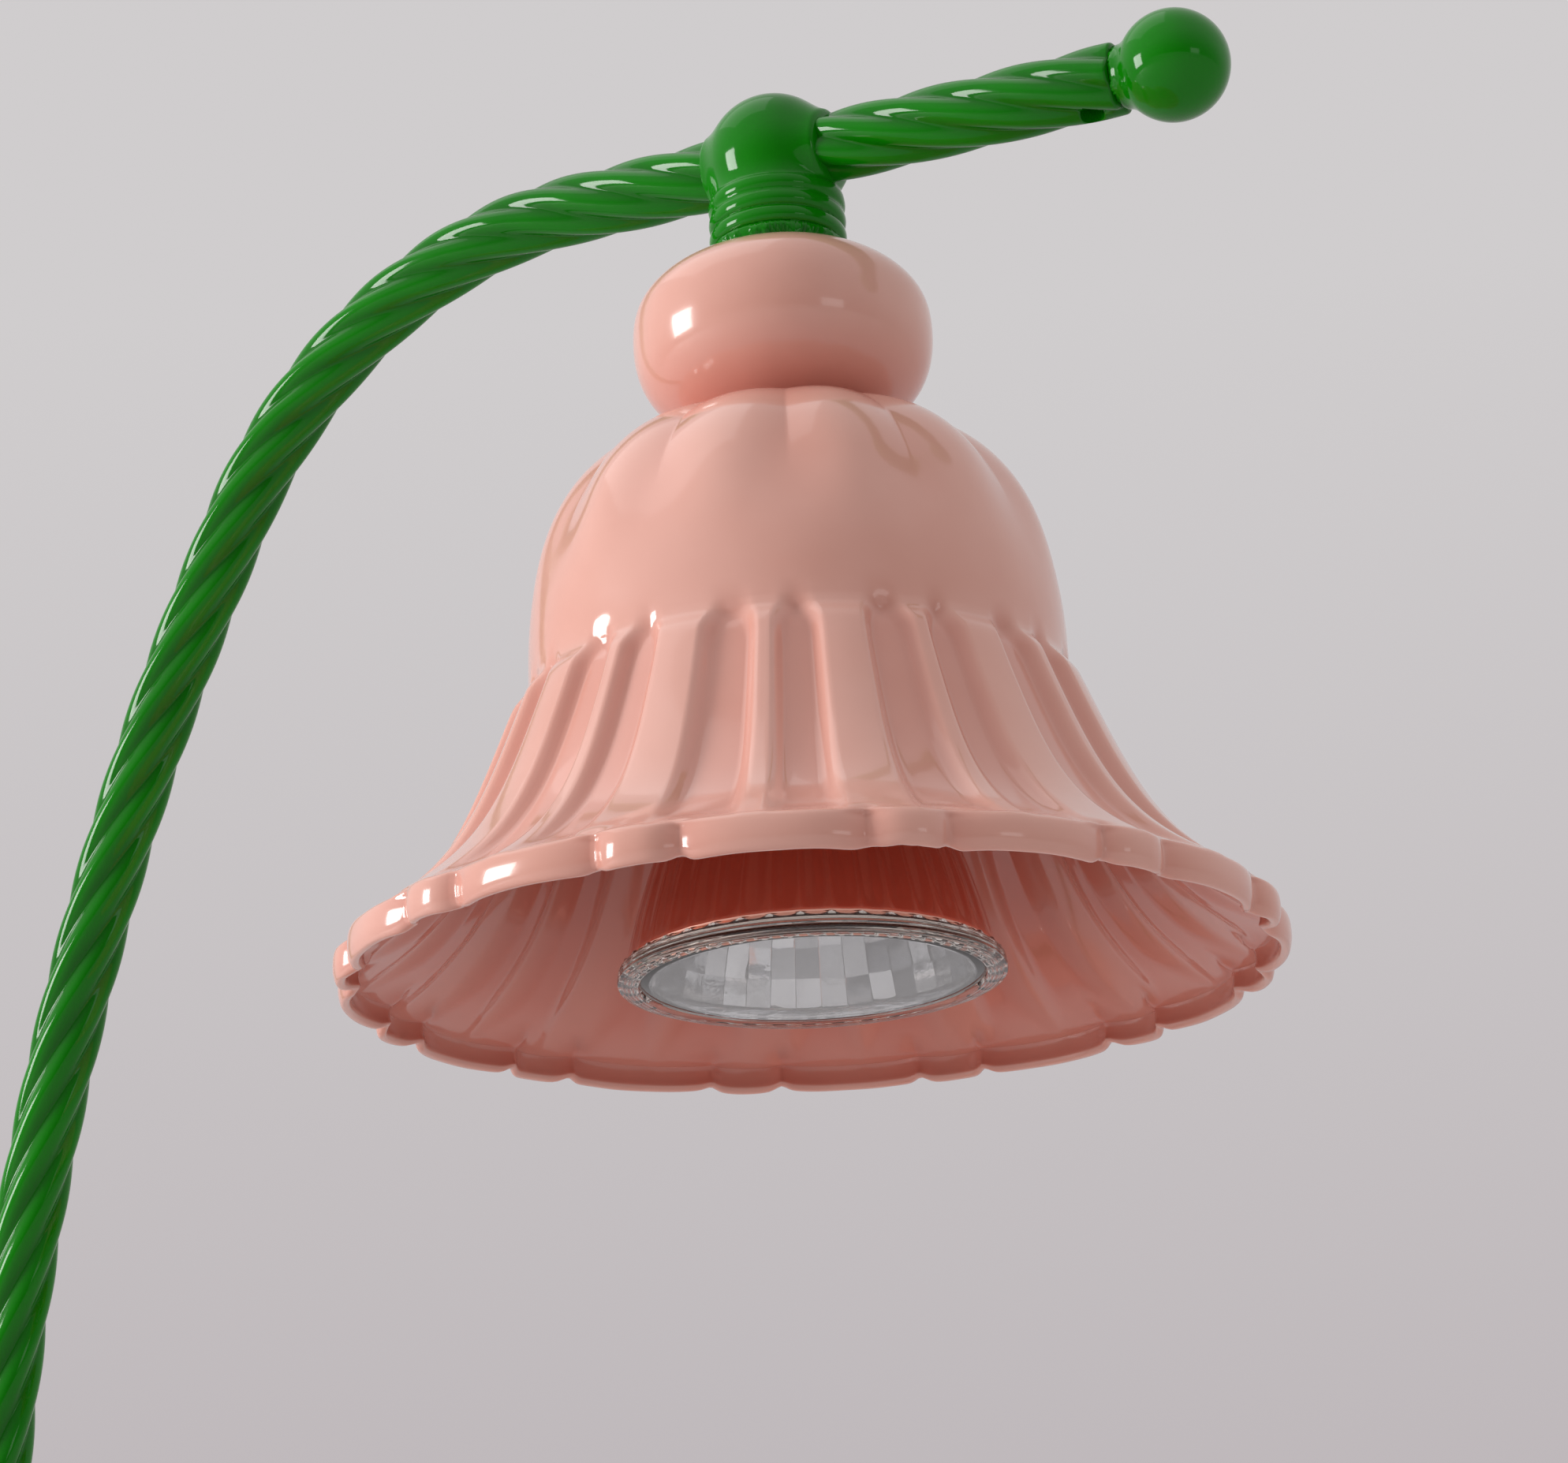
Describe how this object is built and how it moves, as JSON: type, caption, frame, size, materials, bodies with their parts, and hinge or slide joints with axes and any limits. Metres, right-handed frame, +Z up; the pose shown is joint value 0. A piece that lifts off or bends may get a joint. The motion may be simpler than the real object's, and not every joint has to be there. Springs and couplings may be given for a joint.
{
  "type": "table lamp",
  "caption": "Table lamp with a fluted tulip shade hung from a twisted, arched stem, a twist-lock reflector bulb and a dimmer knob on a round weighted base.",
  "frame": {"origin": "axis of the upright at table level, on the underside of the base pad", "axes": "+Z up; +X from the upright to the shade's axis; the cord's inlet faces -X; Y across"},
  "size_m": [0.2586, 0.14, 0.2913],
  "materials": {
    "green_enamel": "glossy enamel",
    "pink_enamel": "glossy enamel",
    "zinc_steel": "zinc plated",
    "iron": "as cast",
    "bare_brass": "satin",
    "cover_steel": "satin black",
    "pad_rubber": "matt",
    "grommet_rubber": "matt",
    "block_plastic": "matt",
    "dimmer_plastic": "matt",
    "shaft_plastic": "smooth",
    "knob_plastic": "glossy",
    "lead_brown": "silicone",
    "lead_blue": "silicone",
    "holder_ceramic": "glazed steatite",
    "bulb_ceramic": "unglazed steatite",
    "reflector_glass": "pressed, coated inside",
    "front_glass": "clear",
    "quartz": "clear",
    "nickel_pin": "nickel plated"
  },
  "bodies": {
    "lamp": {"stem_tube": "green_enamel", "ball_coupling": "green_enamel", "coupling_screw": "zinc_steel", "finial_ball": "green_enamel", "bead_cover": "pink_enamel", "shade": "pink_enamel", "threaded_nipple": "zinc_steel", "shade_nut": "zinc_steel", "holder_bracket": "zinc_steel", "lamp_holder": "holder_ceramic", "holder_contacts": "bare_brass", "holder_screws": "zinc_steel", "lead_live": "lead_brown", "lead_neutral": "lead_blue", "stem_stud": "zinc_steel", "stud_washer": "zinc_steel", "stud_nut": "zinc_steel", "stem_ferrule": "green_enamel", "base_shell": "pink_enamel", "base_weight": "iron", "bottom_cover": "cover_steel", "cover_screws": "zinc_steel", "base_pad": "pad_rubber", "cord_grommet": "grommet_rubber", "terminal_block": "block_plastic", "terminal_sleeves": "bare_brass", "terminal_screws": "zinc_steel", "dimmer_case": "dimmer_plastic", "dimmer_nut": "zinc_steel", "dimmer_links": "lead_brown"},
    "bulb": {"bulb_reflector": "reflector_glass", "bulb_front_glass": "front_glass", "bulb_capsule": "quartz", "bulb_base": "bulb_ceramic", "bulb_pins": "nickel_pin"},
    "dimmer_control": {"dimmer_shaft": "shaft_plastic", "dimmer_knob": "knob_plastic"}
  },
  "joints": [
    {"name": "dimmer_turn", "type": "hinge", "parent": "lamp", "child": "dimmer_control", "pos_m": [0.046, 0, 0.022], "axis": [0, 0, 1], "range_deg": [-280, 0]},
    {"name": "bulb_twist", "type": "hinge", "parent": "lamp", "child": "bulb", "pos_m": [0.1375, 0, 0.2117], "axis": [0, 0, 1], "range_deg": [0, 40]}
  ]
}
